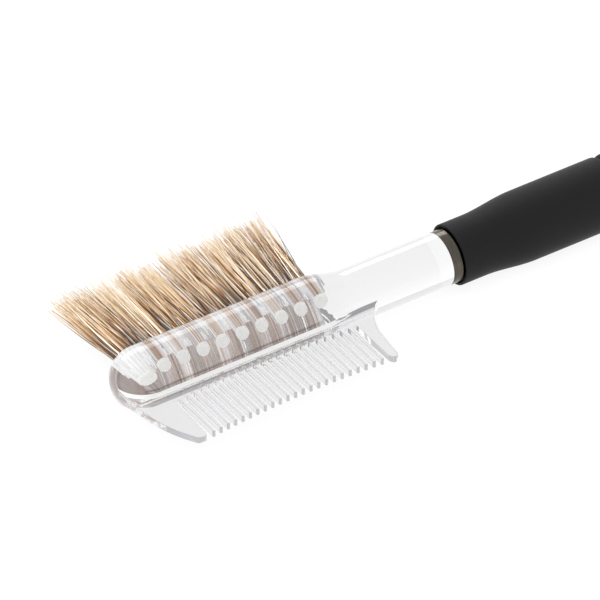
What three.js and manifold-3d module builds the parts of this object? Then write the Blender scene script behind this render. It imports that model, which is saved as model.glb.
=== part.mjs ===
// Brow brush and lash comb: a clear moulded head with a row of bristle tufts on one edge
// and a fine comb on the other, plugged into a metal collar, a flared sleeve and a handle.
//
// Frame: millimetres. X runs along the handle, +X out of its flat rear end, which is the
// origin. +Y is the bristle side, -Y the comb side, and the comb lies flat in the XY plane.

import * as THREE from 'three';
import { mergeVertices } from 'three/addons/utils/BufferGeometryUtils.js';
import Module from 'manifold-3d';

const wasm = await Module();
wasm.setup();

// ---------------------------------------------------------------- driving dimensions

const TOTAL_LENGTH = 150;          // nose of the head to the rear end of the handle
const HEAD_LENGTH = 42.3;          // nose to the station the front pieces are measured from
const COLLAR_X = HEAD_LENGTH - TOTAL_LENGTH;   // that station, in the collar's visible band
const FIT_GAP = 0.05;              // clearance of every plugged joint

// Head: bar, neck and spigot, as round sections along X measured from the collar's station.
const BAR_RADIUS = 3.8;
const BAR_OFFSET = 0.3;            // the bar sits this far towards the bristles
const BAR_BOTTOM_Z = -2.15;        // flat underside of the bar
const BAR_END = -17;               // where the bar starts to narrow
const NECK_START = -11.8;
const NECK_END = -0.3;             // the neck's round end face, against the collar
const NECK_RADIUS = 3.09;
const SPIGOT_RADIUS = 2.3;
const SPIGOT_LENGTH = 9;

// Comb: a flat blade with straight teeth between two larger guards.
const TOOTH_COUNT = 23;
const TOOTH_PITCH = 1;
const FIRST_TOOTH_X = -37.15;
const TOOTH_TIP_WIDTH = 0.42;
const SLOT_ROOT_WIDTH = 0.4;
const COMB_BOW_X = -24;            // the tip line bows inwards most here
const COMB_BOW_Y = -11.54;
const COMB_BOW_RADIUS = 110;
const SLOT_BOW_X = -25.5;          // the slots between the teeth end on a bow of their own
const SLOT_BOW_Y = -4.45;
const SLOT_BOW_RADIUS = 64;
const BLADE_THICKNESS = [          // [y, half thickness]: a small step at the bar, then thin
  [0, 0.62],
  [-3.5, 0.62],
  [-3.8, 0.46],
  [-13.5, 0.42],
];

// Guards at the two ends of the comb: the turning points of the blade's outline, as [x, y],
// with pairs of control points where it curves.
const NOSE_GUARD = {
  top: [-42.25, -0.4],
  bulge: [[-42.25, -4], [-41.85, -8.2]],
  outerFoot: [-39.6, -11.75],
  tip: [-38.6, -12.5],
  innerFoot: [-37.95, -11.8],
};
const NECK_GUARD = {
  innerFoot: [-14.3, -11.65],
  tip: [-13.7, -12.3],
  outerFoot: [-13.15, -11.65],
  waist: [-12.8, -7.6],
  fillet: [[-12.45, -5.6], [-11.4, -3.2]],
  end: [-9.3, -2.7],
};
const GUARD_TIP_FULLNESS = 0.7;    // 1 squares a guard's tip, 0 makes it pointed
const BLADE_SINK = 1.5;            // the blade's top corner stands this far inside the nose

// Tufts: bundles of hair glued into blind holes along the bar.
const TUFT_COUNT = 10;
const TUFT_PITCH = 2.52;
const FIRST_TUFT_X = -38.6;
const FIRST_TUFT_SHIFT = 0.35;     // the tuft in the nose stands this much nearer the next one
const HOLE_RADIUS = 0.8;
const HOLE_BOTTOM_Y = 0.62;
const FIRST_HOLE_BOTTOM_Y = 0;     // the hole in the nose is deeper than the others
const GLUE_LIFT = 0.02;
const GLUE_THICKNESS = 0.35;
const TUFT_ROOT_RADIUS = 0.74;
const TUFT_TIP_Y = 17.2;
const TUFT_TIP_HALF_X = 1.36;
const TUFT_TIP_HALF_Z = 1.9;
const TUFT_FAN = 0.3;              // each tuft's tips lean this much further out than the last

// Collar, bush, sleeve and handle.
const COLLAR_RADIUS = 3.125;
const COLLAR_BAND = 0.95;
const COLLAR_CHAMFER = 0.12;
const COLLAR_SHANK_RADIUS = 2.85;
const BUSH_RADIUS = 3.3;
const BUSH_START = 1.7;
const BUSH_END = 12;
const BUSH_CUP_SPACE = 0.4;        // room between the collar's shank and the cup's floor
const SLEEVE_START = 1.08;
const SLEEVE_END = 21.75;
const SLEEVE_BORE = 3.35;
const SLEEVE_RIM_RADIUS = 3.59;
const SLEEVE_RADIUS = 4.11;
const SLEEVE_FLARE_START = 4.2;
const SLEEVE_FLARE_END = 10.6;
const SLEEVE_SHOULDER = 0.6;
const SLEEVE_STEP_SPACE = 0.2;     // room between the bush and the step in the bore
const HANDLE_SPIGOT_RADIUS = 3;
const HANDLE_SPIGOT_START = 12.5;
const HANDLE_START = 22.05;
const HANDLE_FRONT_RADIUS = 4.08;
const HANDLE_REAR_RADIUS = 3.3;
const HANDLE_EDGE = 0.5;
const HANDLE_TAPER_START = 42.05;
const HANDLE_TAPER_END = 95.7;

const ROUND_SEGMENTS = 40;
const HOLE_SEGMENTS = 20;
const TUFT_SEGMENTS = 16;
const TUFT_STEPS = 4;
const EDGE_STEPS = 5;
const BLEND_STEPS = 8;
const NOSE_STEPS = 10;
const OUTLINE_STEPS = 6;
const WELD_DISTANCE = 1e-4;
const OVERCUT = 1;                 // how far cutting tools reach past the surface they cut

// ---------------------------------------------------------------- materials

const MATERIALS = {
  clear: { color: 0xeef0ee, roughness: 0.05, metalness: 0, transparent: true, opacity: 0.4 },
  bristle: { color: 0xb98d5c, roughness: 0.65, metalness: 0 },
  glue: { color: 0xe9ebe4, roughness: 0.4, metalness: 0 },
  collar: { color: 0x5a554e, roughness: 0.22, metalness: 1 },
  black: { color: 0x2a2a2c, roughness: 0.6, metalness: 0 },
  bush: { color: 0x1c1c1e, roughness: 0.7, metalness: 0 },
};

function part(name, geometry, finish) {
  const mesh = new THREE.Mesh(geometry, new THREE.MeshStandardMaterial(MATERIALS[finish]));
  mesh.name = name;
  return mesh;
}

const numbered = (stem, index) => `${stem}_${String(index + 1).padStart(2, '0')}`;

// ---------------------------------------------------------------- solids

function toSolid(geometry) {
  const bare = geometry.clone();
  bare.deleteAttribute('normal');
  bare.deleteAttribute('uv');
  const merged = mergeVertices(bare, WELD_DISTANCE);
  const corners = merged.index.array;
  const faces = [];
  for (let i = 0; i < corners.length; i += 3) {
    const [a, b, c] = [corners[i], corners[i + 1], corners[i + 2]];
    if (a !== b && b !== c && c !== a) faces.push(a, b, c);
  }
  return new wasm.Manifold(new wasm.Mesh({
    numProp: 3,
    vertProperties: new Float32Array(merged.attributes.position.array),
    triVerts: new Uint32Array(faces),
  }));
}

function toGeometry(solid) {
  const mesh = solid.getMesh();
  const geometry = new THREE.BufferGeometry();
  geometry.setAttribute('position', new THREE.BufferAttribute(mesh.vertProperties, 3));
  geometry.setIndex(new THREE.BufferAttribute(mesh.triVerts, 1));
  return geometry;
}

// A turned piece: profile is a list of [x, radius] from its front to its rear, with x
// measured from the collar's station.
function turned(profile, segments = ROUND_SEGMENTS) {
  const points = profile.map(([x, radius]) => new THREE.Vector2(radius, x));
  const geometry = new THREE.LatheGeometry(points, segments);
  geometry.rotateZ(-Math.PI / 2);
  geometry.translate(COLLAR_X, 0, 0);
  return geometry;
}

// Points on a quarter circle of the given radius, from angle a to angle b in degrees.
function arc(centreX, centreRadius, radius, a, b, steps = EDGE_STEPS) {
  return Array.from({ length: steps + 1 }, (_, i) => {
    const angle = THREE.MathUtils.degToRad(a + ((b - a) * i) / steps);
    return [centreX + radius * Math.cos(angle), centreRadius + radius * Math.sin(angle)];
  });
}

// A smooth change from one radius to another between two stations, as [x, radius] points.
function blend(x0, radius0, x1, radius1) {
  return Array.from({ length: BLEND_STEPS + 1 }, (_, i) => {
    const x = THREE.MathUtils.lerp(x0, x1, i / BLEND_STEPS);
    const share = THREE.MathUtils.smoothstep(x, x0, x1);
    return [x, THREE.MathUtils.lerp(radius0, radius1, share)];
  });
}

// ---------------------------------------------------------------- head

function headCore() {
  const noseCentre = BAR_RADIUS - HEAD_LENGTH;
  const geometry = turned([
    ...arc(noseCentre, 0, BAR_RADIUS, 180, 90, NOSE_STEPS),
    ...blend(BAR_END, BAR_RADIUS, NECK_START, NECK_RADIUS),
    [NECK_END, NECK_RADIUS],
    [NECK_END, SPIGOT_RADIUS],
    [SPIGOT_LENGTH, SPIGOT_RADIUS],
    [SPIGOT_LENGTH, 0],
  ]);
  // The bar's axis is a little nearer the bristles than the neck's, and its underside is
  // flat. Both fade out where the bar turns into the neck.
  const position = geometry.attributes.position;
  for (let i = 0; i < position.count; i += 1) {
    const x = position.getX(i) - COLLAR_X;
    const fade = THREE.MathUtils.smoothstep(x, BAR_END, NECK_START);
    const lowest = THREE.MathUtils.lerp(BAR_BOTTOM_Z, -NECK_RADIUS, fade);
    position.setY(i, position.getY(i) + BAR_OFFSET * (1 - fade));
    position.setZ(i, Math.max(position.getZ(i), lowest));
  }
  return toSolid(geometry);
}

const toothTipY = (x) => COMB_BOW_Y - (x - COMB_BOW_X) ** 2 / (2 * COMB_BOW_RADIUS);
const slotRootY = (x) => SLOT_BOW_Y - (x - SLOT_BOW_X) ** 2 / (2 * SLOT_BOW_RADIUS);

// Carries the outline from one foot of a guard round its tip to the other foot.
function addGuardTip(shape, [startX], [tipX, tipY], [endX, endY]) {
  const startCurveX = THREE.MathUtils.lerp(tipX, startX, GUARD_TIP_FULLNESS);
  const endCurveX = THREE.MathUtils.lerp(tipX, endX, GUARD_TIP_FULLNESS);
  shape.quadraticCurveTo(startCurveX, tipY, tipX, tipY);
  shape.quadraticCurveTo(endCurveX, tipY, endX, endY);
}

// Adds the teeth and the round-rooted slots on both sides of each, from nose to neck.
function addTeeth(shape) {
  const rootRadius = SLOT_ROOT_WIDTH / 2;
  const tipRadius = TOOTH_TIP_WIDTH / 2;
  for (let i = 0; i <= TOOTH_COUNT; i += 1) {
    const toothX = FIRST_TOOTH_X + i * TOOTH_PITCH;
    const slotX = toothX - TOOTH_PITCH / 2;
    const rootY = slotRootY(slotX) - rootRadius;
    shape.lineTo(slotX - rootRadius, rootY);
    shape.absarc(slotX, rootY, rootRadius, Math.PI, 0, true);
    if (i < TOOTH_COUNT) {
      const tipY = toothTipY(toothX) + tipRadius;
      shape.lineTo(toothX - tipRadius, tipY);
      shape.absarc(toothX, tipY, tipRadius, Math.PI, 2 * Math.PI, false);
    }
  }
}

// Outline of the blade with its teeth, starting inside the bar and going round by the
// nose guard, the teeth and the neck guard.
function bladeOutline() {
  const shape = new THREE.Shape();
  shape.moveTo(NOSE_GUARD.top[0] + BLADE_SINK, 0);
  shape.lineTo(...NOSE_GUARD.top);
  shape.bezierCurveTo(...NOSE_GUARD.bulge.flat(), ...NOSE_GUARD.outerFoot);
  addGuardTip(shape, NOSE_GUARD.outerFoot, NOSE_GUARD.tip, NOSE_GUARD.innerFoot);
  addTeeth(shape);
  shape.lineTo(...NECK_GUARD.innerFoot);
  addGuardTip(shape, NECK_GUARD.innerFoot, NECK_GUARD.tip, NECK_GUARD.outerFoot);
  shape.lineTo(...NECK_GUARD.waist);
  shape.bezierCurveTo(...NECK_GUARD.fillet.flat(), ...NECK_GUARD.end);
  shape.lineTo(NECK_GUARD.end[0], 0);
  shape.closePath();
  return shape;
}

function blade() {
  const depth = 2 * BAR_RADIUS;
  const flat = new THREE.ExtrudeGeometry(bladeOutline(), {
    depth,
    bevelEnabled: false,
    curveSegments: OUTLINE_STEPS,
  });
  flat.translate(COLLAR_X, 0, -depth / 2);

  // Wedge that gives the blade its thickness: its YZ section, drawn and swept along X.
  const section = new THREE.Shape();
  BLADE_THICKNESS.forEach(([y, half], i) => (i ? section.lineTo(y, half) : section.moveTo(y, half)));
  [...BLADE_THICKNESS].reverse().forEach(([y, half]) => section.lineTo(y, -half));
  section.closePath();
  const wedge = new THREE.ExtrudeGeometry(section, { depth: HEAD_LENGTH, bevelEnabled: false });
  // Section (x, y) becomes (Y, Z) and the sweep runs along X.
  wedge.applyMatrix4(new THREE.Matrix4().set(
    0, 0, 1, COLLAR_X - HEAD_LENGTH - OVERCUT,
    1, 0, 0, 0,
    0, 1, 0, 0,
    0, 0, 0, 1,
  ));
  return toSolid(flat).intersect(toSolid(wedge));
}

const tuftShift = (index) => (index === 0 ? FIRST_TUFT_SHIFT : 0);
const tuftX = (index) => FIRST_TUFT_X + index * TUFT_PITCH + tuftShift(index);
const holeBottomY = (index) => (index === 0 ? FIRST_HOLE_BOTTOM_Y : HOLE_BOTTOM_Y);

function alongY(x, y0, y1, radius) {
  const geometry = new THREE.CylinderGeometry(radius, radius, y1 - y0, HOLE_SEGMENTS);
  geometry.translate(COLLAR_X + x, (y0 + y1) / 2, 0);
  return geometry;
}

function combHead() {
  let solid = headCore().add(blade());
  for (let i = 0; i < TUFT_COUNT; i += 1) {
    const top = BAR_RADIUS + BAR_OFFSET + OVERCUT;
    solid = solid.subtract(toSolid(alongY(tuftX(i), holeBottomY(i), top, HOLE_RADIUS)));
  }
  return part('comb_head', toGeometry(solid), 'clear');
}

// ---------------------------------------------------------------- tufts

function glueDot(index) {
  const bottom = holeBottomY(index) + GLUE_LIFT;
  const geometry = alongY(tuftX(index), bottom, bottom + GLUE_THICKNESS, TUFT_ROOT_RADIUS);
  return part(numbered('glue_dot', index), geometry, 'glue');
}

// A tuft is round in its hole and opens into a wide oval brush at the tips.
function tuft(index) {
  const rootY = holeBottomY(index) + GLUE_THICKNESS + FIT_GAP;
  const mouthY = BAR_RADIUS + BAR_OFFSET;
  const lean = (index - (TUFT_COUNT - 1) / 2) * TUFT_FAN - tuftShift(index);
  const rings = [[rootY, 0], [mouthY, 0]];
  for (let i = 1; i <= TUFT_STEPS; i += 1) {
    const t = i / TUFT_STEPS;
    rings.push([THREE.MathUtils.lerp(mouthY, TUFT_TIP_Y, t), t]);
  }
  const positions = [];
  rings.forEach(([y, t]) => {
    const halfX = THREE.MathUtils.lerp(TUFT_ROOT_RADIUS, TUFT_TIP_HALF_X, t);
    const halfZ = THREE.MathUtils.lerp(TUFT_ROOT_RADIUS, TUFT_TIP_HALF_Z, t);
    for (let s = 0; s < TUFT_SEGMENTS; s += 1) {
      const angle = (2 * Math.PI * s) / TUFT_SEGMENTS;
      const x = COLLAR_X + tuftX(index) + lean * t + halfX * Math.cos(angle);
      positions.push(x, y, halfZ * Math.sin(angle));
    }
  });
  const faces = [];
  const ringStart = (ring) => ring * TUFT_SEGMENTS;
  for (let r = 0; r < rings.length - 1; r += 1) {
    for (let s = 0; s < TUFT_SEGMENTS; s += 1) {
      const next = (s + 1) % TUFT_SEGMENTS;
      const [a, b] = [ringStart(r) + s, ringStart(r) + next];
      const [c, d] = [ringStart(r + 1) + s, ringStart(r + 1) + next];
      faces.push(a, c, b, b, c, d);
    }
  }
  const top = ringStart(rings.length - 1);
  for (let s = 1; s < TUFT_SEGMENTS - 1; s += 1) {
    faces.push(0, s, s + 1);
    faces.push(top, top + s + 1, top + s);
  }
  const geometry = new THREE.BufferGeometry();
  geometry.setAttribute('position', new THREE.Float32BufferAttribute(positions, 3));
  geometry.setIndex(faces);
  return part(numbered('bristle_tuft', index), geometry, 'bristle');
}

// ---------------------------------------------------------------- collar to handle

// Metal collar: the visible band, with a bright chamfer at its rear, and a hidden shank.
function collar() {
  const front = NECK_END + FIT_GAP / 2;
  const bore = SPIGOT_RADIUS + FIT_GAP;
  return part('collar_ring', turned([
    [front, bore],
    [front, COLLAR_RADIUS],
    [COLLAR_BAND - COLLAR_CHAMFER, COLLAR_RADIUS],
    [COLLAR_BAND, COLLAR_RADIUS - COLLAR_CHAMFER],
    [COLLAR_BAND, COLLAR_SHANK_RADIUS],
    [SPIGOT_LENGTH, COLLAR_SHANK_RADIUS],
    [SPIGOT_LENGTH, bore],
    [front, bore],
  ]), 'collar');
}

// Bush: a cup that holds the collar's shank in the wider bore of the sleeve.
function coreBush() {
  const bore = COLLAR_SHANK_RADIUS + FIT_GAP;
  const cupFloor = SPIGOT_LENGTH + BUSH_CUP_SPACE;
  return part('core_bush', turned([
    [cupFloor, 0],
    [cupFloor, bore],
    [BUSH_START, bore],
    [BUSH_START, BUSH_RADIUS],
    [BUSH_END, BUSH_RADIUS],
    [BUSH_END, 0],
  ]), 'bush');
}

function gripSleeve() {
  const step = BUSH_END + SLEEVE_STEP_SPACE;
  const rearBore = HANDLE_SPIGOT_RADIUS + FIT_GAP;
  const shoulderX = SLEEVE_END - SLEEVE_SHOULDER;
  const shoulderRadius = SLEEVE_RADIUS - SLEEVE_SHOULDER;
  return part('grip_sleeve', turned([
    [SLEEVE_START, SLEEVE_BORE],
    [SLEEVE_START, SLEEVE_RIM_RADIUS],
    ...blend(SLEEVE_FLARE_START, SLEEVE_RIM_RADIUS, SLEEVE_FLARE_END, SLEEVE_RADIUS),
    ...arc(shoulderX, shoulderRadius, SLEEVE_SHOULDER, 90, 0),
    [SLEEVE_END, rearBore],
    [step, rearBore],
    [step, SLEEVE_BORE],
    [SLEEVE_START, SLEEVE_BORE],
  ]), 'black');
}

function handleBarrel() {
  const end = -COLLAR_X;
  const frontEdge = HANDLE_FRONT_RADIUS - HANDLE_EDGE;
  const rearEdge = HANDLE_REAR_RADIUS - HANDLE_EDGE;
  return part('handle_barrel', turned([
    [HANDLE_SPIGOT_START, 0],
    [HANDLE_SPIGOT_START, HANDLE_SPIGOT_RADIUS],
    [HANDLE_START, HANDLE_SPIGOT_RADIUS],
    ...arc(HANDLE_START + HANDLE_EDGE, frontEdge, HANDLE_EDGE, 180, 90),
    ...blend(HANDLE_TAPER_START, HANDLE_FRONT_RADIUS, HANDLE_TAPER_END, HANDLE_REAR_RADIUS),
    ...arc(end - HANDLE_EDGE, rearEdge, HANDLE_EDGE, 90, 0),
    [end, 0],
  ]), 'black');
}

// ---------------------------------------------------------------- assembly

const brush = new THREE.Group();
brush.add(combHead(), collar(), coreBush(), gripSleeve(), handleBarrel());
for (let i = 0; i < TUFT_COUNT; i += 1) {
  brush.add(glueDot(i), tuft(i));
}

export default brush;
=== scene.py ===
"""Looks of a brow brush and lash comb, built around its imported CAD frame.

Lengths are millimetres until a mesh is finished, and x is measured from a station just behind
the collar's front: -x runs to the nose of the clear head and +x to the end of the handle. The
brush points along +y and the comb along -y. The floor, the lights, the camera's clip range and
the scales of the noise are in metres.
"""

import math
import random

import bmesh
import bpy
from mathutils import Matrix, Vector


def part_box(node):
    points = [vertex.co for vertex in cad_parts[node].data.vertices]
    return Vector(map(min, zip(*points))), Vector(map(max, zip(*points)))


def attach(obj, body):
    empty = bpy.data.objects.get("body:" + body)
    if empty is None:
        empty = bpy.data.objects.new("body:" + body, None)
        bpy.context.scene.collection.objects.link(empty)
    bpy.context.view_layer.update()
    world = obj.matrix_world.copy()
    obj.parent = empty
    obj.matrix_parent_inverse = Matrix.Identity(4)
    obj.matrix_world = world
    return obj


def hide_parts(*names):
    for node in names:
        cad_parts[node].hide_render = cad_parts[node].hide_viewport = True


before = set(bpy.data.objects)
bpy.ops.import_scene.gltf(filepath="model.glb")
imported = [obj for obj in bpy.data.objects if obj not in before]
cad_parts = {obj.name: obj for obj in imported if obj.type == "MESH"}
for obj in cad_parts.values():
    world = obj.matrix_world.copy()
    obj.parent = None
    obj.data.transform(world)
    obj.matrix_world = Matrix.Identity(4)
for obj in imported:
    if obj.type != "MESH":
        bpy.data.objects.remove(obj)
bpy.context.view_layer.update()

MM = 0.001


def cad_box(node):
    """Lowest and highest corner of a CAD node, in millimetres."""
    low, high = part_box(node)
    return low / MM, high / MM


# ------------------------------------------------------------------ dimensions from the frame

FIT_GAP = 0.05
NECK_END = -0.3
# COLLAR_X is the station that x is measured from.
collar_low, collar_high = cad_box("collar_ring")
COLLAR_X = collar_low.x - FIT_GAP / 2 - NECK_END

head_low, head_high = cad_box("comb_head")
NOSE_X = head_low.x - COLLAR_X
BAR_RADIUS = head_high.z
BAR_OFFSET = head_high.y - BAR_RADIUS
SPIGOT_LENGTH = head_high.x - COLLAR_X
COLLAR_RADIUS = collar_high.z
NECK_STEP = 0.003
NECK_RADIUS = COLLAR_RADIUS - NECK_STEP
SPIGOT_RADIUS = 2.3
SPIGOT_GAP = 0.03

sleeve_low, sleeve_high = cad_box("grip_sleeve")
SLEEVE_START = sleeve_low.x - COLLAR_X
SLEEVE_END = sleeve_high.x - COLLAR_X
SLEEVE_RADIUS = sleeve_high.z

handle_low, handle_high = cad_box("handle_barrel")
HANDLE_SPIGOT_START = handle_low.x - COLLAR_X
HANDLE_END = handle_high.x - COLLAR_X
HANDLE_RADIUS = handle_high.z

TUFT_NUMBERS = [f"{i:02d}" for i in range(1, 11)]
GLUE_LIFT = 0.02
GLUE_BOXES = [cad_box(f"glue_dot_{number}") for number in TUFT_NUMBERS]
TUFT_X = [(low.x + high.x) / 2 - COLLAR_X for low, high in GLUE_BOXES]
HOLE_BOTTOM_Y = [low.y - GLUE_LIFT for low, high in GLUE_BOXES]
TUFT_TIP_Y = cad_box("bristle_tuft_01")[1].y

# ------------------------------------------------------------------ dimensions of the head

BAR_END = -17
NECK_START = -11.8
BAR_BOTTOM = -2.15
CORE_SEGMENTS = 112
NOSE_RINGS = 20
NECK_RINGS = 14
BAR_RINGS = 16

TOOTH_COUNT = 23
TOOTH_PITCH = 1
FIRST_TOOTH_X = -37.15
TOOTH_TIP_WIDTH = 0.42
SLOT_ROOT_WIDTH = 0.4
COMB_BOW_X = -24
COMB_BOW_Y = -11.54
COMB_BOW_RADIUS = 110
SLOT_BOW_X = -25.5
SLOT_BOW_Y = -4.45
SLOT_BOW_RADIUS = 64
# (y, half the blade's thickness)
BLADE_HALVES = [(0, 0.62), (-3.5, 0.62), (-3.8, 0.46), (-13.5, 0.42)]
BLADE_EDGE = 0.19
BLADE_EDGE_SEGMENTS = 4
BLADE_EDGE_PROFILE = 0.5
BLADE_SINK = 1.5
SIDE_FACE_LEAN = 0.5
ARC_STEPS = 8
CURVE_STEPS = 14
GUARD_TIP_FULLNESS = 0.7
NOSE_GUARD = {
    "top": (-42.25, -0.4),
    "bulge": ((-42.25, -4), (-41.85, -8.2)),
    "outer_foot": (-39.6, -11.75),
    "tip": (-38.6, -12.5),
    "inner_foot": (-37.95, -11.8),
}
NECK_GUARD = {
    "inner_foot": (-14.3, -11.65),
    "tip": (-13.7, -12.3),
    "outer_foot": (-13.15, -11.65),
    "waist": (-12.8, -7.6),
    "fillet": ((-12.45, -5.6), (-11.4, -3.2)),
    "end": (-9.3, -2.7),
}
SHARP_ANGLE = math.radians(25)
FLAT_FACE_WEIGHT = 60


# ------------------------------------------------------------------ small helpers

def lerp(a, b, t):
    return a + (b - a) * t


def smoothstep(x, low, high):
    t = min(1, max(0, (x - low) / (high - low)))
    return t * t * (3 - 2 * t)


def srgb(red, green, blue):
    """A colour given on the 0 to 255 screen scale, as linear RGBA."""
    def linear(value):
        share = value / 255
        return share / 12.92 if share <= 0.04045 else ((share + 0.055) / 1.055) ** 2.4
    return (linear(red), linear(green), linear(blue), 1)


def arc(centre_x, centre_y, radius, start, end, steps):
    """Points on a circle from one angle to another, in degrees."""
    points = []
    for i in range(steps + 1):
        angle = math.radians(lerp(start, end, i / steps))
        points.append((centre_x + radius * math.cos(angle), centre_y + radius * math.sin(angle)))
    return points


def bezier(*controls):
    """Points on a Bezier curve of any degree, without its first point."""
    points = []
    for i in range(1, CURVE_STEPS + 1):
        t = i / CURVE_STEPS
        level = [Vector(control) for control in controls]
        while len(level) > 1:
            level = [a.lerp(b, t) for a, b in zip(level, level[1:])]
        points.append(tuple(level[0]))
    return points


def blend(x0, radius0, x1, radius1, steps):
    """A smooth change of radius between two stations."""
    points = []
    for i in range(steps + 1):
        x = lerp(x0, x1, i / steps)
        points.append((x, lerp(radius0, radius1, smoothstep(x, x0, x1))))
    return points


# ------------------------------------------------------------------ meshes

def turned(profile, segments):
    """A bmesh turned round the x axis. A profile that starts and ends on the axis is closed
    there, and one that ends where it starts is a ring."""
    bm = bmesh.new()
    is_ring = profile[0] == profile[-1]
    stations = profile[:-1] if is_ring else profile
    rings = []
    for x, radius in stations:
        if radius == 0:
            rings.append([bm.verts.new((x, 0, 0))])
            continue
        ring = []
        for s in range(segments):
            angle = 2 * math.pi * s / segments
            ring.append(bm.verts.new((x, radius * math.cos(angle), radius * math.sin(angle))))
        rings.append(ring)
    pairs = list(zip(rings, rings[1:]))
    if is_ring:
        pairs.append((rings[-1], rings[0]))
    for ring_a, ring_b in pairs:
        for s in range(segments):
            nxt = (s + 1) % segments
            corners = [ring_a[s % len(ring_a)], ring_a[nxt % len(ring_a)],
                       ring_b[nxt % len(ring_b)], ring_b[s % len(ring_b)]]
            bm.faces.new(list(dict.fromkeys(corners)))
    bmesh.ops.recalc_face_normals(bm, faces=bm.faces)
    return bm


def as_object(bm, name):
    """A new object in the scene from a bmesh, which is used up."""
    mesh = bpy.data.meshes.new(name)
    bm.to_mesh(mesh)
    bm.free()
    obj = bpy.data.objects.new(name, mesh)
    bpy.context.scene.collection.objects.link(obj)
    return obj


def combined(obj, other, operation):
    """Changes obj's mesh to its boolean with other, which is used up."""
    modifier = obj.modifiers.new(operation, "BOOLEAN")
    modifier.object = other
    modifier.operation = operation
    modifier.solver = "EXACT"
    depsgraph = bpy.context.evaluated_depsgraph_get()
    result = bpy.data.meshes.new_from_object(obj.evaluated_get(depsgraph))
    obj.modifiers.clear()
    obj.data = result
    bpy.data.objects.remove(other)


def shade(mesh):
    """Smooth shading, with hard edges where faces meet at a sharp angle."""
    bm = bmesh.new()
    bm.from_mesh(mesh)
    for face in bm.faces:
        face.smooth = True
    for edge in bm.edges:
        edge.smooth = len(edge.link_faces) == 2 and edge.calc_face_angle(0) < SHARP_ANGLE
    bm.to_mesh(mesh)
    bm.free()


def finish_piece(obj, name, material, nodes):
    obj.name = name
    obj.data.name = name
    obj.data.transform(Matrix.Translation((COLLAR_X, 0, 0)))
    obj.data.transform(Matrix.Scale(MM, 4))
    obj.data.materials.clear()
    obj.data.materials.append(material)
    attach(obj, "root")
    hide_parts(*nodes)


def weighted_normals(obj):
    """Keeps wide flat faces flat where smooth shading meets them."""
    modifier = obj.modifiers.new("flat faces stay flat", "WEIGHTED_NORMAL")
    modifier.keep_sharp = True
    modifier.weight = FLAT_FACE_WEIGHT


# ------------------------------------------------------------------ material helpers

class Tree:
    """A material's node tree, with short calls for adding nodes."""

    def __init__(self, name):
        self.material = bpy.data.materials.new(name)
        self.material.use_nodes = True
        self.nodes = self.material.node_tree.nodes
        self.links = self.material.node_tree.links
        self.surface = self.nodes["Principled BSDF"]

    def put(self, socket, value):
        """Gives a socket a plain value, or links it to another node's output."""
        if isinstance(value, bpy.types.NodeSocket):
            self.links.new(value, socket)
        else:
            socket.default_value = value

    def add(self, kind, inputs=None, **settings):
        node = self.nodes.new("ShaderNode" + kind)
        for key, value in settings.items():
            setattr(node, key, value)
        for key, value in (inputs or {}).items():
            self.put(node.inputs[key], value)
        return node

    def set(self, **values):
        """Sets the surface's inputs; an underscore stands for a space."""
        for key, value in values.items():
            self.put(self.surface.inputs[key.replace("_", " ")], value)

    def place(self):
        """Position in the object's own space, in metres."""
        return self.add("TexCoord").outputs["Object"]

    def stretched(self, scale):
        return self.add("Mapping", {"Vector": self.place(), "Scale": scale}).outputs[0]

    def noise(self, scale, detail=2, roughness=0.5, vector=None):
        inputs = {"Scale": scale, "Detail": detail, "Roughness": roughness}
        inputs["Vector"] = vector or self.place()
        return self.add("TexNoise", inputs).outputs["Fac"]

    def between(self, value, low, high):
        """Maps a 0 to 1 value to low to high."""
        inputs = {"Value": value, "To Min": low, "To Max": high}
        return self.add("MapRange", inputs).outputs["Result"]

    def math(self, operation, *values):
        return self.add("Math", dict(enumerate(values)), operation=operation).outputs[0]

    def span(self, value, start, end):
        """Rises from 0 to 1 as the value goes from start to end."""
        inputs = {"Value": value, "From Min": start, "From Max": end}
        return self.add("MapRange", inputs).outputs["Result"]

    def ramp(self, value, stops):
        node = self.add("ValToRGB", {"Fac": value})
        elements = node.color_ramp.elements
        while len(elements) < len(stops):
            elements.new(0.5)
        for element, (position, colour) in zip(elements, stops):
            element.position = position
            element.color = colour
        return node.outputs["Color"]

    def mix(self, share, colour_a, colour_b, mode="MIX"):
        node = self.add("Mix", data_type="RGBA", blend_type=mode)
        self.put(node.inputs[0], share)
        self.put(node.inputs[6], colour_a)
        self.put(node.inputs[7], colour_b)
        return node.outputs[2]

    def bump(self, height, distance, strength):
        inputs = {"Height": height, "Distance": distance, "Strength": strength}
        return self.add("Bump", inputs).outputs["Normal"]


# ------------------------------------------------------------------ materials

WHITE = srgb(255, 255, 255)
# The plastic's tints are painted shade: darkest in the blade, less along the bar and least at the
# nose.
BAR_SHADE_TINT = srgb(231, 231, 231)
NOSE_SHADE_TINT = srgb(248, 248, 248)
BLADE_SHADE_TINT = srgb(212, 212, 212)
NOSE_SHADE_TINT_X = (-37, -41)
BLADE_PAINTED_Y = (-3, -5)
PLASTIC_IOR = 1.49
# A faint glow of painted light in the plastic, stronger in the blade.
PLASTIC_PAINTED_LIGHT = srgb(236, 236, 240)
BAR_PAINTED_LIGHT_STRENGTH = 0.06
BLADE_PAINTED_LIGHT_STRENGTH = 0.11

# The seam's painted shade goes by the height from the blade's middle, up to SEAM_HEIGHT.
SEAM_HEIGHT = 2
SEAM_WAVES = 420
SEAM_SWAY = 0.084
SEAM_Y = (-2.9, -3)
SEAM_ENDS_X = ((-41.6, -40.4), (-16.2, -18.6))
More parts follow.
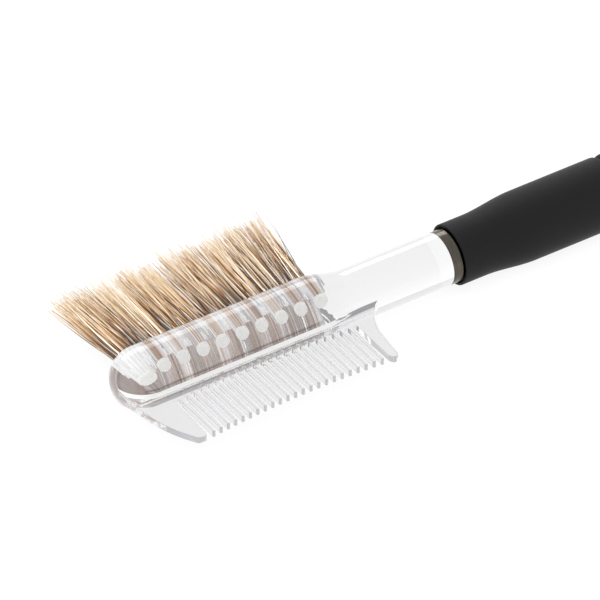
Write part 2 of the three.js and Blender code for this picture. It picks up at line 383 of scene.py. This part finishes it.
# Painted shade: the dark line and the dull band by the blade.
SEAM_SHADE_TINTS = [
    (0.63, WHITE),
    (0.66, srgb(214, 206, 201)),
    (0.9, srgb(206, 197, 191)),
    (0.95, srgb(112, 102, 97)),
    (1.06, srgb(122, 112, 106)),
    (1.12, srgb(196, 184, 176)),
    (1.32, WHITE),
]


def rise_x(tree, place, start, end):
    """Rises from 0 to 1 between two stations along the tool."""
    return tree.span(place["X"], (COLLAR_X + start) * MM, (COLLAR_X + end) * MM)


def rise_y(tree, place, start, end):
    """Rises from 0 to 1 between two places across the tool, with the comb on the minus side."""
    return tree.span(place["Y"], start * MM, end * MM)


def painted_seam_shade(tree, place):
    """A thin wavy dark line of painted shadow along the bar on each side of the blade, with a
    dull band of painted shade between the line and the blade."""
    height = tree.math("MULTIPLY", tree.math("ABSOLUTE", place["Z"]), 1 / (SEAM_HEIGHT * MM))
    waves = tree.noise(SEAM_WAVES, vector=tree.stretched((1, 0, 0)))
    sway = tree.between(waves, -SEAM_SWAY / SEAM_HEIGHT, SEAM_SWAY / SEAM_HEIGHT)
    stops = [(z / SEAM_HEIGHT, colour) for z, colour in SEAM_SHADE_TINTS]
    painted_shade = tree.ramp(tree.math("ADD", height, sway), stops)
    share = rise_y(tree, place, *SEAM_Y)
    for start, end in SEAM_ENDS_X:
        share = tree.math("MULTIPLY", share, rise_x(tree, place, start, end))
    return tree.mix(share, WHITE, painted_shade)


def clear_plastic():
    """Clear, with painted shade in its tint, darkest in the comb's blade and least at the nose, and a
    faint painted glow.
    """
    tree = Tree("clear_plastic")
    flow = tree.noise(scale=90, detail=1, vector=tree.stretched((0.25, 1, 1)))
    place = tree.add("SeparateXYZ", {"Vector": tree.place()}).outputs
    in_blade = rise_y(tree, place, *BLADE_PAINTED_Y)
    bar = tree.mix(rise_x(tree, place, *NOSE_SHADE_TINT_X), BAR_SHADE_TINT, NOSE_SHADE_TINT)
    plain = tree.mix(in_blade, bar, BLADE_SHADE_TINT)
    tree.set(
        Base_Color=tree.mix(1, plain, painted_seam_shade(tree, place), "MULTIPLY"),
        Roughness=tree.between(flow, 0.0, 0.05),
        IOR=PLASTIC_IOR,
        Transmission_Weight=1,
        Normal=tree.bump(flow, distance=0.04 * MM, strength=0.5),
        Emission_Color=PLASTIC_PAINTED_LIGHT,
        Emission_Strength=tree.between(in_blade, BAR_PAINTED_LIGHT_STRENGTH, BLADE_PAINTED_LIGHT_STRENGTH),
    )
    return tree.material


HAIR_COLOURS = [
    (0.0, srgb(36, 22, 15)),
    (0.2, srgb(84, 54, 36)),
    (0.42, srgb(160, 117, 77)),
    (0.68, srgb(206, 168, 122)),
    (1.0, srgb(232, 208, 172)),
]
HAIR_BLOTCHES = 900
HAIR_BLOTCH_SHIFT = 0.1
HAIR_TONE_SHIFT = (-0.62, 0.4)
# Some hairs are paler at random, but only upper ones: partly real tone, partly a painted highlight.
PALE_HIGHLIGHT_HAIR = srgb(254, 245, 228)
PALE_HIGHLIGHT_SHARE = 0.9
GLUED_CORE_COLOURS = [
    (0.1, srgb(126, 98, 80)),
    (0.5, srgb(172, 142, 122)),
    (0.9, srgb(212, 198, 186)),
]
GLUED_WALL_COLOURS = [
    (0.1, srgb(164, 159, 160)),
    (0.45, srgb(206, 203, 203)),
    (0.8, srgb(232, 232, 232)),
]
CORE_TO_WALL = (0.3, 0.8)
HOLE_MOUTH = 0.5
HOLE_FADE_END = 0.44
# The hair in its hole has a faint glow of painted light.
GLUED_PAINTED_LIGHT_STRENGTH = 0.42


def bristle_hair():
    """Pale with glue in its hole, where it has a faint painted glow, brown where it comes out and
    cream at the tip. The mesh's strand attribute holds the place along the hair, with HOLE_MOUTH
    where it leaves the hole, then its tone, which is partly painted shade, and then its share of
    a pale painted highlight or, inside the hole, its nearness to the wall."""
    tree = Tree("bristle_hair")
    strand = tree.add("Attribute", attribute_name="strand").outputs["Color"]
    along, tone, light = tree.add("SeparateColor", {"Color": strand}).outputs
    free = tree.span(along, HOLE_MOUTH, 1)
    blotch = tree.between(tree.noise(HAIR_BLOTCHES), -HAIR_BLOTCH_SHIFT, HAIR_BLOTCH_SHIFT)
    shifted = tree.math("ADD", free, tree.between(tone, *HAIR_TONE_SHIFT))
    colour = tree.ramp(tree.math("ADD", shifted, blotch), HAIR_COLOURS)
    # Paler hairs, kept to the upper side of the tuft, are a painted highlight.
    highlighted = tree.mix(tree.between(light, 0.0, PALE_HIGHLIGHT_SHARE), colour, PALE_HIGHLIGHT_HAIR)
    core = tree.ramp(tone, GLUED_CORE_COLOURS)
    wall = tree.ramp(tone, GLUED_WALL_COLOURS)
    glued = tree.mix(tree.span(light, *CORE_TO_WALL), core, wall)
    in_hole = tree.span(along, HOLE_MOUTH, HOLE_FADE_END)
    finish = tree.mix(in_hole, highlighted, glued)
    tree.set(
        Base_Color=finish,
        Emission_Color=finish,
        Emission_Strength=tree.between(in_hole, 0.0, GLUED_PAINTED_LIGHT_STRENGTH),
        Roughness=tree.between(tone, 0.32, 0.5),
        Normal=tree.bump(tree.noise(scale=2500), distance=0.01 * MM, strength=0.4),
    )
    return tree.material


GLUE_COLOURS = [(0.3, srgb(222, 221, 216)), (0.62, srgb(246, 246, 243))]
# The glue's faint glow is painted light.
GLUE_PAINTED_LIGHT = srgb(240, 240, 236)
GLUE_PAINTED_LIGHT_STRENGTH = 0.3


def glue():
    """Pale and slightly mottled, with a faint glow of painted light."""
    tree = Tree("glue")
    fine = tree.noise(scale=3200, detail=4, roughness=0.65)
    fibre = tree.noise(scale=1500, detail=3, roughness=0.6, vector=tree.stretched((1, 1, 3)))
    mottle = tree.mix(0.5, fine, fibre)
    tree.set(
        Base_Color=tree.ramp(mottle, GLUE_COLOURS),
        Roughness=tree.between(fine, 0.45, 0.7),
        Normal=tree.bump(mottle, distance=0.02 * MM, strength=0.5),
        Emission_Color=GLUE_PAINTED_LIGHT,
        Emission_Strength=GLUE_PAINTED_LIGHT_STRENGTH,
    )
    return tree.material


GUNMETAL_COLOURS = [(0.3, srgb(76, 71, 65)), (0.7, srgb(102, 96, 87))]
GRIP_GRAIN = 5200
BUSH_GRAIN = 2600
DARKEST_BLACK = srgb(10, 10, 11)
PALEST_BLACK = srgb(16, 15, 15)


def gunmetal():
    """Dark polished metal, with very fine brushing round the tool."""
    tree = Tree("gunmetal")
    brushed = tree.noise(scale=1400, detail=3, roughness=0.6, vector=tree.stretched((6, 0.4, 0.4)))
    tree.set(
        Base_Color=tree.ramp(brushed, GUNMETAL_COLOURS),
        Metallic=1.0,
        Roughness=tree.between(brushed, 0.14, 0.24),
        Normal=tree.bump(brushed, distance=0.004 * MM, strength=0.3),
    )
    return tree.material


def soft_black(name, grain_scale):
    """A matt black coating with a fine grain."""
    tree = Tree(name)
    grain = tree.noise(scale=grain_scale, detail=3, roughness=0.6)
    cloud = tree.noise(scale=160)
    tree.set(
        Base_Color=tree.mix(cloud, DARKEST_BLACK, PALEST_BLACK),
        Roughness=tree.between(grain, 0.62, 0.78),
        Normal=tree.bump(grain, distance=0.02 * MM, strength=0.35),
        Specular_IOR_Level=0.3,
        Sheen_Weight=0.1,
        Sheen_Roughness=0.3,
    )
    return tree.material


# ------------------------------------------------------------------ clear head

def core_bmesh():
    """Bar and neck in one turned body, with the bar shifted towards the bristles and cut flat
    underneath."""
    profile = arc(NOSE_X + BAR_RADIUS, 0, BAR_RADIUS, 180, 90, NOSE_RINGS)
    profile[0] = (NOSE_X, 0)
    bar_start = profile[-1][0]
    for i in range(1, BAR_RINGS):
        profile.append((lerp(bar_start, BAR_END, i / BAR_RINGS), BAR_RADIUS))
    profile += blend(BAR_END, BAR_RADIUS, NECK_START, NECK_RADIUS, NECK_RINGS)
    profile += [(NECK_END, NECK_RADIUS), (NECK_END, 0)]
    bm = turned(profile, CORE_SEGMENTS)
    for vert in bm.verts:
        vert.co.y += BAR_OFFSET * (1 - smoothstep(vert.co.x, BAR_END, NECK_START))
    for vert in bm.verts:
        flat = lerp(BAR_BOTTOM, -NECK_RADIUS, smoothstep(vert.co.x, BAR_END, NECK_START))
        vert.co.z = max(vert.co.z, flat)
    return bm


def tooth_tip_y(x):
    return COMB_BOW_Y - (x - COMB_BOW_X) ** 2 / (2 * COMB_BOW_RADIUS)


def slot_root_y(x):
    return SLOT_BOW_Y - (x - SLOT_BOW_X) ** 2 / (2 * SLOT_BOW_RADIUS)


def guard_tip(start, tip, end):
    """Round a guard's tip, from one foot to the other."""
    first = bezier(start, (lerp(tip[0], start[0], GUARD_TIP_FULLNESS), tip[1]), tip)
    second = bezier(tip, (lerp(tip[0], end[0], GUARD_TIP_FULLNESS), tip[1]), end)
    return first + second


def teeth_outline():
    points = []
    root_radius = SLOT_ROOT_WIDTH / 2
    tip_radius = TOOTH_TIP_WIDTH / 2
    for i in range(TOOTH_COUNT + 1):
        tooth_x = FIRST_TOOTH_X + i * TOOTH_PITCH
        slot_x = tooth_x - TOOTH_PITCH / 2
        root_y = slot_root_y(slot_x) - root_radius
        points += arc(slot_x, root_y, root_radius, 180, 0, ARC_STEPS)
        if i < TOOTH_COUNT:
            tip_y = tooth_tip_y(tooth_x) + tip_radius
            points += arc(tooth_x, tip_y, tip_radius, 180, 360, ARC_STEPS)
    return points


def blade_outline():
    points = [(NOSE_GUARD["top"][0] + BLADE_SINK, 0), NOSE_GUARD["top"]]
    points += bezier(NOSE_GUARD["top"], *NOSE_GUARD["bulge"], NOSE_GUARD["outer_foot"])
    points += guard_tip(NOSE_GUARD["outer_foot"], NOSE_GUARD["tip"], NOSE_GUARD["inner_foot"])
    points += teeth_outline()
    points.append(NECK_GUARD["inner_foot"])
    points += guard_tip(NECK_GUARD["inner_foot"], NECK_GUARD["tip"], NECK_GUARD["outer_foot"])
    points.append(NECK_GUARD["waist"])
    points += bezier(NECK_GUARD["waist"], *NECK_GUARD["fillet"], NECK_GUARD["end"])
    points.append((NECK_GUARD["end"][0], 0))
    return points


def half_thickness(y):
    """Half the blade's thickness at y, which falls from the bar to the tips of the teeth."""
    for (y0, half0), (y1, half1) in zip(BLADE_HALVES, BLADE_HALVES[1:]):
        if y >= y1:
            return lerp(half0, half1, (y - y0) / (y1 - y0))
    return BLADE_HALVES[-1][1]


def blade_bmesh():
    """The comb: the outline raised to the blade's changing thickness, with rounded edges."""
    bm = bmesh.new()
    bm.faces.new([bm.verts.new((x, y, 0)) for x, y in blade_outline()])
    for y, _ in BLADE_HALVES[1:-1]:
        everything = list(bm.verts) + list(bm.edges) + list(bm.faces)
        bmesh.ops.bisect_plane(bm, geom=everything, plane_co=(0, y, 0), plane_no=(0, 1, 0))
    raised = bmesh.ops.extrude_face_region(bm, geom=list(bm.faces))["geom"]
    top = {item for item in raised if isinstance(item, bmesh.types.BMVert)}
    for vert in bm.verts:
        half = half_thickness(vert.co.y)
        vert.co.z = half if vert in top else -half
    bmesh.ops.recalc_face_normals(bm, faces=bm.faces)

    def is_side(face):
        return abs(face.normal.z) < SIDE_FACE_LEAN

    rim = [e for e in bm.edges
           if len(e.link_faces) == 2 and is_side(e.link_faces[0]) != is_side(e.link_faces[1])]
    bmesh.ops.bevel(bm, geom=rim, offset=BLADE_EDGE, segments=BLADE_EDGE_SEGMENTS,
                    profile=BLADE_EDGE_PROFILE, affect="EDGES", clamp_overlap=True)
    return bm


def comb_head(material):
    head = as_object(core_bmesh(), "core")
    combined(head, as_object(blade_bmesh(), "blade"), "UNION")
    shade(head.data)
    weighted_normals(head)
    finish_piece(head, "clear_head", material, ["comb_head"])


def spigot(material):
    """The plug behind the neck's flat end, out of sight in the collar."""
    turned_piece([
        (NECK_END + SPIGOT_GAP, 0),
        (NECK_END + SPIGOT_GAP, SPIGOT_RADIUS),
        (SPIGOT_LENGTH, SPIGOT_RADIUS),
        (SPIGOT_LENGTH, 0),
    ], "head_spigot", material, "comb_head")


# ------------------------------------------------------------------ tufts

HAIR_SEED = 700
STRANDS = 135
STRAND_SIDES = 4
STRAND_RINGS = 13

# where a hair starts
ROOT_RADIUS = 0.74
ROOT_FLATNESS = 0.8
ROOT_LIFT = 0.3
MOUTH_SPREAD = 1.3
EDGE_STRANDS = 0.22
EDGE_SIDE = (0.95, 1.75)
EDGE_LIFT = (0.5, 1.8)

# where it ends
TUFT_FAN = 0.3
FIRST_TUFT_LEAN = -1
TIP_SIDE = 1.3
TIP_SIDE_NOISE = 0.65
TIP_RISE = 1.1
TIP_RISE_NOISE = 0.3
TIP_DROP = 0.55
TIP_LENGTH_NOISE = 0.55
TIP_REACH = 0.7
STRAYS = 0.1
STRAY_SIDE = (0.5, 1.3)
STRAY_DROP = 2

# the clumps that draw the tips together
CLUMPS = 9
CLUMP_SIDE = 0.95
CLUMP_DEPTH = 0.75
CLUMP_LENGTH = 0.35
SIDE_CLUMPING = 0.45
DEPTH_CLUMPING = 0.4

# its shape between the two
HAIR_WAVE = 0.13
HAIR_BEND = 0.3
SIDE_WAVES = 5
DEPTH_WAVES = 4
DEPTH_WAVE_SHARE = 0.6
SIDE_CURVE = 0.85
DEPTH_CURVE = 0.9
FINE_SHARE = 0.55
FINE_RADIUS = (0.035, 0.06)
COARSE_RADIUS = (0.06, 0.11)
TIP_THINNESS = 0.28
TAPER_START = 0.4

# what its material reads
TONE_OWN = 0.4
TONE_OF_CLUMP = 0.3
# Lower hairs get a darker tone: painted shade.
SHADE_TONE_OF_HEIGHT = 0.3
TONE_LIMITS = (0.15, 0.85)
PALE_HIGHLIGHT_POWER = 3
PALE_HIGHLIGHT_FROM = -0.2
WALL_NOISE = 0.15
WHITE_GLUE_TOP = -0.05
WHITE_GLUE_TONE = 0.7
UNDERSIDE_GLUE = 0.85


def strand_root(rng, tuft_index):
    """A hair's place across its tuft, in shares of the root's radius, and where it starts. Some
    stand outside the root, towards the next tuft, and start higher."""
    angle = rng.uniform(0, 2 * math.pi)
    reach = math.sqrt(rng.random())
    side = reach * math.cos(angle)
    rise = reach * math.sin(angle)
    if rng.random() < EDGE_STRANDS:
        side = rng.choice((-1, 1)) * rng.uniform(*EDGE_SIDE)
    y = HOLE_BOTTOM_Y[tuft_index] + ROOT_LIFT
    if abs(side) > 1:
        y += rng.uniform(*EDGE_LIFT)
    return side, rise, (ROOT_RADIUS * side, y, ROOT_RADIUS * ROOT_FLATNESS * rise)


def strand_tip(rng, tuft_index, side, rise, clump):
    """Where a hair ends, drawn towards its clump. A few stray to the side and end lower."""
    lean = (tuft_index - (len(TUFT_X) - 1) / 2) * TUFT_FAN if tuft_index else FIRST_TUFT_LEAN
    own_x = side * TIP_SIDE + rng.gauss(0, TIP_SIDE_NOISE)
    x = lerp(own_x, clump["side"], SIDE_CLUMPING) + lean
    own_z = rise * TIP_RISE + rng.gauss(0, TIP_RISE_NOISE)
    z = lerp(own_z, clump["depth"], DEPTH_CLUMPING)
    y = TUFT_TIP_Y - TIP_DROP + clump["length"] + rng.gauss(0, TIP_LENGTH_NOISE)
    if rng.random() < STRAYS:
        x += rng.choice((-1, 1)) * rng.uniform(*STRAY_SIDE)
        y -= rng.uniform(0, STRAY_DROP)
    return x, min(y, TUFT_TIP_Y + TIP_REACH), z


def strand_path(rng, tuft_index, clump):
    """One hair's centres, radii and places along it, which run from -1 to 0 in the hole and
    from 0 to 1 outside, with its place across the tuft."""
    side, rise, (root_x, root_y, root_z) = strand_root(rng, tuft_index)
    mouth_y = BAR_OFFSET + math.sqrt(BAR_RADIUS ** 2 - root_z ** 2)
    tip_x, tip_y, tip_z = strand_tip(rng, tuft_index, side, rise, clump)
    wave = rng.uniform(0, HAIR_WAVE)
    phase = rng.uniform(0, 2 * math.pi)
    bend = rng.gauss(0, HAIR_BEND)
    radius_range = FINE_RADIUS if rng.random() < FINE_SHARE else COARSE_RADIUS
    root_radius = rng.uniform(*radius_range)
    path = []
    for i in range(STRAND_RINGS):
        t = i / (STRAND_RINGS - 1)
        y = lerp(root_y, tip_y, t)
        inside = min(1, (y - root_y) / (mouth_y - root_y))
        spread = lerp(1, MOUTH_SPREAD, inside) if abs(side) < 1 else 1
        out = max(0, (y - mouth_y) / (tip_y - mouth_y))
        sway = wave * math.sin(phase + SIDE_WAVES * out) * out + bend * out * (1 - out)
        dip = DEPTH_WAVE_SHARE * wave * math.cos(phase + DEPTH_WAVES * out) * out
        x = lerp(root_x * spread, tip_x, out ** SIDE_CURVE) + sway
        z = lerp(root_z * spread, tip_z, out ** DEPTH_CURVE) + dip
        radius = root_radius * lerp(1, TIP_THINNESS, smoothstep(t, TAPER_START, 1))
        path.append((Vector((x, y, z)), radius, out if out > 0 else inside - 1))
    return path, side, rise


def strand_attribute(tuft_index, out, tone, light, wall):
    """What the hair's material reads at one place along it. The first tuft's glue is whiter."""
    in_white = tuft_index == 0 and out < WHITE_GLUE_TOP
    glued = 1 if in_white else wall
    shown = max(tone, WHITE_GLUE_TONE) if in_white else tone
    return (HOLE_MOUTH + out * (1 - HOLE_MOUTH), shown, light if out > 0 else glued, 1)


def add_ring(bm, layer, centre, radius, attribute):
    """One ring of a hair, all of it with the same attribute."""
    ring = []
    for s in range(STRAND_SIDES):
        angle = 2 * math.pi * s / STRAND_SIDES + math.pi / STRAND_SIDES
        offset = Vector((radius * math.cos(angle), 0, radius * math.sin(angle)))
        vert = bm.verts.new(centre + offset)
        vert[layer] = attribute
        ring.append(vert)
    return ring


def join_rings(bm, rings):
    """The faces of a hair, closed at both ends."""
    bm.faces.new(rings[0])
    for ring_a, ring_b in zip(rings, rings[1:]):
        for s in range(STRAND_SIDES):
            nxt = (s + 1) % STRAND_SIDES
            bm.faces.new((ring_a[s], ring_b[s], ring_b[nxt], ring_a[nxt]))
    bm.faces.new(list(reversed(rings[-1])))


def hair_tuft(tuft_index, material):
    """A tuft of hairs, each drawn towards one of a few clumps."""
    rng = random.Random(HAIR_SEED + tuft_index)
    clumps = []
    for _ in range(CLUMPS):
        clumps.append({
            "side": rng.gauss(0, CLUMP_SIDE),
            "depth": rng.gauss(0, CLUMP_DEPTH),
            "length": rng.gauss(0, CLUMP_LENGTH),
            "tone": rng.random(),
        })
    bm = bmesh.new()
    layer = bm.verts.layers.float_color.new("strand")
    for _ in range(STRANDS):
        clump = rng.choice(clumps)
        path, side, rise = strand_path(rng, tuft_index, clump)
        # A lower hair gets a darker tone, which is painted shade.
        height = 0.5 + rise / 2
        tone = TONE_OWN * rng.random() + TONE_OF_CLUMP * clump["tone"] + SHADE_TONE_OF_HEIGHT * height
        tone = smoothstep(tone, *TONE_LIMITS)
        # Only upper hairs can be paler: a painted highlight.
        light = rng.random() ** PALE_HIGHLIGHT_POWER if rise > PALE_HIGHLIGHT_FROM else 0
        wall = min(1, max(abs(side), -UNDERSIDE_GLUE * rise) + rng.gauss(0, WALL_NOISE))
        rings = []
        for centre, radius, out in path:
            attribute = strand_attribute(tuft_index, out, tone, light, wall)
            rings.append(add_ring(bm, layer, centre, radius, attribute))
        join_rings(bm, rings)
    shift = Vector((TUFT_X[tuft_index], 0, 0))
    for vert in bm.verts:
        vert.co += shift
    for face in bm.faces:
        face.smooth = True
    number = TUFT_NUMBERS[tuft_index]
    tuft = as_object(bm, f"hair_{number}")
    finish_piece(tuft, f"hair_tuft_{number}", material, [f"bristle_tuft_{number}"])


GLUE_SEED = 40
DISC_SEGMENTS = 48
DISC_SINK = 0.01
DISC_HALF_X = 0.77
DISC_HALF_Z = 0.55
DISC_WOBBLE = 0.03
DISC_RIPPLE = 0.02
DISC_TOP = 0.3
# (height, share of the half width)
DISC_PROFILE = [(0, 0), (0, 0.97), (0.02, 1), (0.28, 1), (0.33, 0.88), (0.35, 0.4), (0.36, 0)]


def glue_disc(tuft_index, material):
    """A pool of glue that wets the bottom of the hole, oval and a little uneven on top."""
    rng = random.Random(GLUE_SEED + tuft_index)
    phase = rng.uniform(0, 2 * math.pi)
    bm = turned(DISC_PROFILE, DISC_SEGMENTS)
    for vert in bm.verts:
        height, side, rise = vert.co
        around = math.atan2(rise, side)
        wobble = 1 + DISC_WOBBLE * math.sin(2 * around + phase)
        ripple = DISC_RIPPLE * math.sin(3 * around + phase) if height > DISC_TOP else 0
        vert.co.x = TUFT_X[tuft_index] + side * wobble * DISC_HALF_X
        vert.co.y = HOLE_BOTTOM_Y[tuft_index] - DISC_SINK + height + ripple
        vert.co.z = rise * wobble * DISC_HALF_Z
    bmesh.ops.recalc_face_normals(bm, faces=bm.faces)
    number = TUFT_NUMBERS[tuft_index]
    disc = as_object(bm, f"disc_{number}")
    shade(disc.data)
    finish_piece(disc, f"glue_disc_{number}", material, [f"glue_dot_{number}"])


# ------------------------------------------------------------------ collar, sleeve and handle

TURNED_SEGMENTS = 144
COLLAR_BAND = 0.95
COLLAR_BEAD = 0.07
COLLAR_FRONT_EDGE = 0.02
COLLAR_SHANK_RADIUS = 2.85
BUSH_START = 1.7
BUSH_END = 12
BUSH_RADIUS = 3.3
BUSH_CUP_SPACE = 0.4
SLEEVE_BORE = 3.35
SLEEVE_RIM_RADIUS = 3.59
SLEEVE_RIM_EDGE = 0.07
SLEEVE_FLARE_START = 4.2
SLEEVE_FLARE_END = 10.6
SLEEVE_SHOULDER = 0.6
SLEEVE_STEP_SPACE = 0.2
HANDLE_SPIGOT_RADIUS = 3
HANDLE_START = 22.05
HANDLE_REAR_RADIUS = 3.3
HANDLE_EDGE = 0.5
HANDLE_TAPER_START = 42.05
HANDLE_TAPER_END = 95.7
EDGE_STEPS = 6
FLARE_STEPS = 24


def turned_piece(profile, name, material, node):
    obj = as_object(turned(profile, TURNED_SEGMENTS), name)
    shade(obj.data)
    finish_piece(obj, name, material, [node])


def collar(material):
    front = NECK_END + SPIGOT_GAP
    bore = SPIGOT_RADIUS + FIT_GAP
    edge = COLLAR_FRONT_EDGE
    turned_piece([
        (front, bore),
        *arc(front + edge, COLLAR_RADIUS - edge, edge, 180, 90, EDGE_STEPS),
        (COLLAR_BAND - 2 * COLLAR_BEAD, COLLAR_RADIUS),
        (COLLAR_BAND - 2 * COLLAR_BEAD, COLLAR_RADIUS - COLLAR_BEAD),
        *arc(COLLAR_BAND - COLLAR_BEAD, COLLAR_RADIUS - COLLAR_BEAD, COLLAR_BEAD, 150, 0, EDGE_STEPS),
        (COLLAR_BAND, COLLAR_SHANK_RADIUS),
        (SPIGOT_LENGTH, COLLAR_SHANK_RADIUS),
        (SPIGOT_LENGTH, bore),
        (front, bore),
    ], "collar_band", material, "collar_ring")


def core_bush(material):
    bore = COLLAR_SHANK_RADIUS + FIT_GAP
    cup_floor = SPIGOT_LENGTH + BUSH_CUP_SPACE
    turned_piece([
        (cup_floor, 0),
        (cup_floor, bore),
        (BUSH_START, bore),
        (BUSH_START, BUSH_RADIUS),
        (BUSH_END, BUSH_RADIUS),
        (BUSH_END, 0),
    ], "bush_cup", material, "core_bush")


def grip_sleeve(material):
    step = BUSH_END + SLEEVE_STEP_SPACE
    rear_bore = HANDLE_SPIGOT_RADIUS + FIT_GAP
    edge = SLEEVE_RIM_EDGE
    shoulder_x = SLEEVE_END - SLEEVE_SHOULDER
    shoulder_radius = SLEEVE_RADIUS - SLEEVE_SHOULDER
    turned_piece([
        (SLEEVE_START, SLEEVE_BORE),
        *arc(SLEEVE_START + edge, SLEEVE_RIM_RADIUS - edge, edge, 180, 90, EDGE_STEPS),
        *blend(SLEEVE_FLARE_START, SLEEVE_RIM_RADIUS, SLEEVE_FLARE_END, SLEEVE_RADIUS, FLARE_STEPS),
        *arc(shoulder_x, shoulder_radius, SLEEVE_SHOULDER, 90, 0, EDGE_STEPS),
        (SLEEVE_END, rear_bore),
        (step, rear_bore),
        (step, SLEEVE_BORE),
        (SLEEVE_START, SLEEVE_BORE),
    ], "sleeve", material, "grip_sleeve")


def handle_barrel(material):
    front_edge = HANDLE_RADIUS - HANDLE_EDGE
    rear_edge = HANDLE_REAR_RADIUS - HANDLE_EDGE
    turned_piece([
        (HANDLE_SPIGOT_START, 0),
        (HANDLE_SPIGOT_START, HANDLE_SPIGOT_RADIUS),
        (HANDLE_START, HANDLE_SPIGOT_RADIUS),
        *arc(HANDLE_START + HANDLE_EDGE, front_edge, HANDLE_EDGE, 180, 90, EDGE_STEPS),
        *blend(HANDLE_TAPER_START, HANDLE_RADIUS, HANDLE_TAPER_END, HANDLE_REAR_RADIUS, FLARE_STEPS),
        *arc(HANDLE_END - HANDLE_EDGE, rear_edge, HANDLE_EDGE, 90, 0, EDGE_STEPS),
        (HANDLE_END, 0),
    ], "handle", material, "handle_barrel")


# ------------------------------------------------------------------ stage, lights and camera

VIEW_AZIMUTH = -31.1
VIEW_ELEVATION = 38.3
VIEW_ROLL = 1.7
VIEW_WIDTH = 66.2
VIEW_CENTRE = Vector((-14.8, 5.93, -3.24))
LENS = 1000
CLIP_RANGE = (0.01, 20)
FLOOR_HALF = 3
FLOOR_COLOUR = (0.09, 0.09, 0.09, 1)
FLOOR_GLOW_STRENGTH = 0.9
ROOM_COLOUR = (0.86, 0.86, 0.87, 1)
LIGHT_TARGET = (COLLAR_X * MM, 0, 0)
KEY_OFFSET = (-0.35, -0.35, 0.7)
KEY_SIZE = (0.5, 0.5)
KEY_POWER = 6.5
BACK_OFFSET = (0.1, 0.8, 0.45)
BACK_SIZE = (0.9, 0.4)
BACK_POWER = 3
LIGHT_BOUNCES = 24


def camera():
    """A long lens, which sees the object almost without perspective."""
    azimuth = math.radians(VIEW_AZIMUTH)
    elevation = math.radians(VIEW_ELEVATION)
    back = Vector((
        math.sin(azimuth) * math.cos(elevation),
        -math.cos(azimuth) * math.cos(elevation),
        math.sin(elevation),
    ))
    level = Vector((math.cos(azimuth), math.sin(azimuth), 0))
    up = back.cross(level)
    roll = math.radians(VIEW_ROLL)
    right = level * math.cos(roll) - up * math.sin(roll)
    up = back.cross(right)
    data = bpy.data.cameras.new("camera")
    data.lens = LENS
    cam = bpy.data.objects.new("camera", data)
    bpy.context.scene.collection.objects.link(cam)
    distance = VIEW_WIDTH * LENS / data.sensor_width
    centre = Vector((COLLAR_X, 0, 0)) + VIEW_CENTRE
    turn = Matrix((right, up, back)).transposed().to_4x4()
    cam.matrix_world = Matrix.Translation((centre + back * distance) * MM) @ turn
    data.clip_start, data.clip_end = CLIP_RANGE
    bpy.context.scene.camera = cam


def soft_light(name, offset, size, power, mirrored):
    """An area light aimed at the collar, with its place measured from there. It never shows
    through clear plastic, and reflections show it only when it is mirrored."""
    place = [start + step for start, step in zip(LIGHT_TARGET, offset)]
    data = bpy.data.lights.new(name, "AREA")
    data.shape = "RECTANGLE"
    data.size, data.size_y = size
    data.energy = power
    light = bpy.data.objects.new(name, data)
    bpy.context.scene.collection.objects.link(light)
    light.location = place
    light.visible_glossy = mirrored
    light.visible_transmission = False
    light.rotation_mode = "QUATERNION"
    light.rotation_quaternion = (Vector(LIGHT_TARGET) - Vector(place)).to_track_quat("-Z", "Y")


def stage():
    """A plain white floor under the object, lit from inside like a light table."""
    z = min(sleeve_low.z, head_low.z) * MM
    corners = ((-1, -1), (1, -1), (1, 1), (-1, 1))
    bm = bmesh.new()
    bm.faces.new([bm.verts.new((x * FLOOR_HALF, y * FLOOR_HALF, z)) for x, y in corners])
    floor = as_object(bm, "floor")
    tree = Tree("floor_white")
    tree.set(
        Base_Color=FLOOR_COLOUR,
        Roughness=0.9,
        Emission_Color=WHITE,
        Emission_Strength=FLOOR_GLOW_STRENGTH,
    )
    floor.data.materials.append(tree.material)


def studio():
    """Even light from all round, with a soft key light and a soft back light."""
    world = bpy.data.worlds.new("studio")
    bpy.context.scene.world = world
    world.use_nodes = True
    background = world.node_tree.nodes["Background"].inputs
    background["Color"].default_value = ROOM_COLOUR
    background["Strength"].default_value = 1
    soft_light("key", KEY_OFFSET, KEY_SIZE, KEY_POWER, mirrored=False)
    soft_light("back", BACK_OFFSET, BACK_SIZE, BACK_POWER, mirrored=True)
    bpy.context.scene.view_settings.view_transform = "Standard"
    bpy.context.scene.cycles.max_bounces = LIGHT_BOUNCES
    bpy.context.scene.cycles.transmission_bounces = LIGHT_BOUNCES


# ------------------------------------------------------------------ the whole scene

camera()
studio()
stage()

clear = clear_plastic()
comb_head(clear)
spigot(clear)
hair = bristle_hair()
pale_glue = glue()
for index in range(len(TUFT_X)):
    hair_tuft(index, hair)
    glue_disc(index, pale_glue)
black = soft_black("soft_black", GRIP_GRAIN)
collar(gunmetal())
core_bush(soft_black("bush_black", BUSH_GRAIN))
grip_sleeve(black)
handle_barrel(black)
